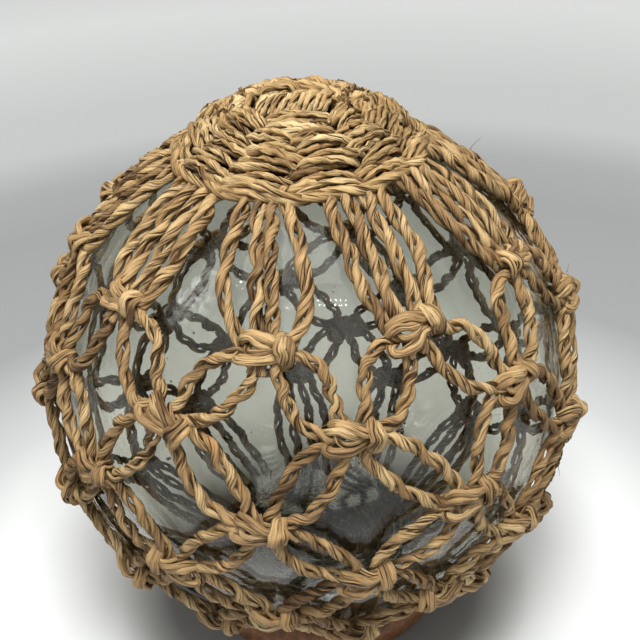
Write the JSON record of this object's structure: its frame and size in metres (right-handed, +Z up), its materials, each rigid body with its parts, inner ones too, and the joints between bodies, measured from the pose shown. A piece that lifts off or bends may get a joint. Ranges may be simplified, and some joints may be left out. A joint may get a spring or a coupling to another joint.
{
  "type": "glass float ball in a knotted cord net",
  "caption": "Clear glass float ball held in a knotted net of twisted seagrass cord with a woven cap above and below, resting on a low round ring stand.",
  "frame": {"origin": "on the surface that the ring stand rests on, under the middle of the ball", "axes": "+Z up through the middle of the ball and both caps; the pictured side faces -Y"},
  "size_m": [0.217, 0.2145, 0.2286],
  "materials": {
    "clear_glass": "clear, faintly grey-green, with small seeds",
    "seagrass_cord": "dry twisted plant fibre, matt with a faint waxy sheen",
    "seagrass_twining": "dry twined plant fibre, matt with a faint waxy sheen",
    "stained_wood": "brown stained, satin"
  },
  "bodies": {
    "root": {"glass_ball": "clear_glass", "net": "seagrass_cord", "top_cap": "seagrass_twining", "base_cap": "seagrass_twining", "ring_stand": "stained_wood"}
  },
  "joints": []
}
